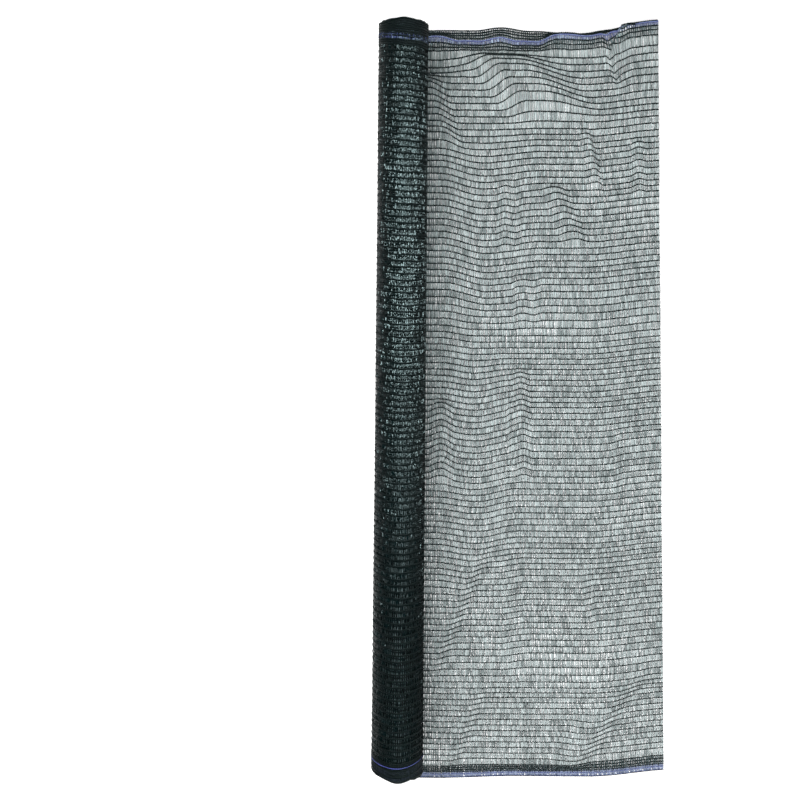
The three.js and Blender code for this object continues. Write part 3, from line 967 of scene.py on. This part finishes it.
# %% Tree that winds the edges
EDGE_INPUTS = ("Turns", "Inner", "Outer", "Thick", "Deep", "Ragged", "Side", "Lean X", "Lean Z")
EDGE_TREE, given, result = cloth_tree("wound edges", {**floats(*EDGE_INPUTS), "Middle": "Vector"})
STEPS_A_TURN = 56
RAGGED_SCALE = 140.0  # about this many uneven places to the metre
t = EDGE_TREE
spiral_size = {
    "Resolution": STEPS_A_TURN,
    "Rotations": given["Turns"],
    "Start Radius": given["Inner"],
    "End Radius": given["Outer"],
    "Height": 0.0,
}
spiral = first(t, "GeometryNodeCurveSpiral", spiral_size)
edge_size = {"Width": given["Thick"], "Height": given["Deep"]}
section = first(t, "GeometryNodeCurvePrimitiveQuadrilateral", edge_size)
band = swept(t, spiral, section)
at = position_parts(t)
sway = first(t, "ShaderNodeTexNoise", {"Scale": RAGGED_SCALE, "Detail": 2.0})
ragged = calc(t, "MULTIPLY", calc(t, "SUBTRACT", sway, 0.5), given["Ragged"])
out = calc(t, "ADD", at[2], ragged)
middle = add(t, "ShaderNodeSeparateXYZ", {0: given["Middle"]}).outputs
end_x = calc(t, "ADD", at[0], middle[0])
end_z = calc(t, "ADD", at[1], middle[2])
end_y = calc(t, "MULTIPLY_ADD", out, given["Side"], middle[1])
end_y = calc(t, "MULTIPLY_ADD", at[0], given["Lean X"], end_y)
end_y = calc(t, "MULTIPLY_ADD", at[1], given["Lean Z"], end_y)
end_tree(t, shifted(t, band, Position=vector(t, end_x, end_y, end_z)), given, result)

# %% Wind both ends
EDGE_TURNS = 15.0
EDGE_THICK = 1.1
EDGE_DEEP = 7
EDGE_RAGGED = 5
EDGE_INNER = 2.5  # radius of the hollow in the middle
EDGE_INSET = 2.6  # the last turn of the spiral keeps inside the inner turn
END_DISH = 3.2  # the winding lies this far in from the inner turn


def wound_end(side, radius, edges):
    """The spiral of selvages at one end of the roll."""
    centre = math.sqrt(radius**2 - FLAT_HALF**2)
    ends = [edges[place] for place in ("under", "left", "crest", "right")]
    middle = (0.0, side * (sum(ends) / 4 - END_DISH) * MM, centre * MM)
    wide = 2 * radius
    values = {
        "Turns": EDGE_TURNS,
        "Inner": EDGE_INNER,
        "Outer": radius - EDGE_INSET,
        "Thick": EDGE_THICK,
        "Deep": EDGE_DEEP,
        "Ragged": EDGE_RAGGED,
        "Middle": middle,
        "Side": float(side),
        "Lean X": side * (edges["right"] - edges["left"]) / wide,
        "Lean Z": side * (edges["crest"] - edges["under"]) / wide,
        "Finish": WOUND_CHAIN,
    }
    return run_tree(EDGE_TREE, OUTER_FORM, values)


head_end = wound_end(1, ROLL_SECTIONS_R[-1], INNER_HEAD)
foot_end = wound_end(-1, ROLL_SECTIONS_R[0], INNER_FOOT)
wound_edges = join("wound_edges", [head_end, foot_end])


# %% [markdown]
# ## Markers on the roll
# The head's blue tape shows on the outer turn as a soft band, and the foot's marker chain as a
# thin bright line. Both are knitted on the outer turn's form, so that they follow its edges.

# %% Marker chains on the roll
ROLL_HEAD_BAND = {"From": WOUND_WIDTH - 13.2, "To": WOUND_WIDTH - 10.0}
ROLL_FOOT_LINE = 11.5
roll_cloth = {**wound_cloth, "Seed": 5}
band_span = {**ROLL_HEAD_BAND, "Gaps": 2, "Tape": 2.2, "Film": 0.9}
roll_line = {**marker, "Chain": 2.2, "Raise": 0.4, "Finish": WOUND_MARKER}
roll_markers = join(
    "roll_markers",
    knit_tape(OUTER_FORM, roll_cloth, {**wound_tape, "Finish": WOUND_BLUE}, [band_span])
    + knit_chains(OUTER_FORM, roll_cloth, roll_line, [(ROLL_FOOT_LINE, ROLL_FOOT_LINE, 0)]),
)


# %% [markdown]
# ## Floor
# The floor is a plain, nearly white surface, wide enough to fill the picture from any side. The
# open net rests on it.

# %% Floor
FLOOR_HALF = 6.0
FLOOR_TONE = 0.9
FLOOR_ROUGH = 0.9
floor_finish = bpy.data.materials.new("floor")
floor_finish.use_nodes = True
floor_shader = floor_finish.node_tree.nodes["Principled BSDF"]
floor_shader.inputs["Base Color"].default_value = (FLOOR_TONE, FLOOR_TONE, FLOOR_TONE, 1)
floor_shader.inputs["Roughness"].default_value = FLOOR_ROUGH
floor_mesh = bpy.data.meshes.new("floor")
floor_corners = [(x * FLOOR_HALF, y * FLOOR_HALF, 0) for x, y in ((-1, -1), (1, -1), (1, 1), (-1, 1))]
floor_mesh.from_pydata(floor_corners, [], [(0, 1, 2, 3)])
floor_mesh.materials.append(floor_finish)
floor = put("floor", floor_mesh)
print("floor:", 2 * FLOOR_HALF, "m wide")


# %% [markdown]
# ## What each piece stands for
# The frame keeps two solids, the roll and the loose netting. The pieces made here replace
# them, which are hidden, and ride on the same body. They are grouped as the open netting and
# the wound netting.

# %% Tie the pieces to the frame
pieces = {
    "open_netting": [open_tape, open_chains, open_markers],
    "wound_netting": [outer_turn, inner_turn, wound_core, wound_edges, roll_markers],
}
for slot, made in pieces.items():
    for piece in made:
        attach(piece, "root")
for piece in pieces["open_netting"]:
    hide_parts("loose_netting")
for piece in pieces["wound_netting"]:
    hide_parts("roll")
print("tied:", sum(len(made) for made in pieces.values()), "pieces")


# %% [markdown]
# ## Light
# The roll glitters along its crest while the open net is dull. One light can't give both, so
# the softboxes are of two kinds. The first two make highlights only: one stands above the
# head half of the roll, and the other far to its right. The other three light the colours
# only, from the left, from beyond the foot and from beyond the head. The world's even light
# fills the rest, and the standard view keeps the floor white.

# %% Softboxes
def softbox(name, place, aim, wide, long, watts, turned=0):
    """A rectangular light at a place, aimed at another and turned in its own plane by degrees."""
    data = bpy.data.lights.new(name, "AREA")
    data.shape = "RECTANGLE"
    data.size = wide
    data.size_y = long
    data.energy = watts
    light = put(name, data)
    light.location = place
    facing = (Vector(aim) - Vector(place)).to_track_quat("-Z", "Y")
    light.rotation_euler = (facing @ Quaternion((0, 0, 1), math.radians(turned))).to_euler()
    return light


glint_lights = [
    softbox("crest light", (0.25, 0.45, 2.3), (0.25, 0.44, 0), wide=0.9, long=0.95, watts=190, turned=25),
    softbox("right light", (2.0, 0.28, 1.3), (0, 0.2, 0), wide=1.2, long=0.6, watts=75),
]
for light in glint_lights:
    light.visible_diffuse = False
dull_lights = [
    softbox("left light", (-1.8, 0.9, 1.6), (0, 0.2, 0), wide=1.2, long=1.2, watts=45),
    softbox("foot light", (-0.2, -2.8, 2.4), (0, -0.2, 0), wide=2.4, long=1.0, watts=235),
    softbox("head light", (-1.4, 2.8, 2.4), (0, 0.2, 0), wide=2.4, long=1.0, watts=140),
]
for light in dull_lights:
    light.visible_glossy = False
print("lights:", [light.name for light in glint_lights + dull_lights])

# %% World and view
WORLD_STRENGTH = 0.06
world = bpy.data.worlds.new("even light")
world.use_nodes = True
background = world.node_tree.nodes["Background"]
background.inputs["Color"].default_value = (1, 1, 1, 1)
background.inputs["Strength"].default_value = WORLD_STRENGTH
scene.world = world
scene.view_settings.view_transform = "Standard"
print("world strength:", WORLD_STRENGTH)
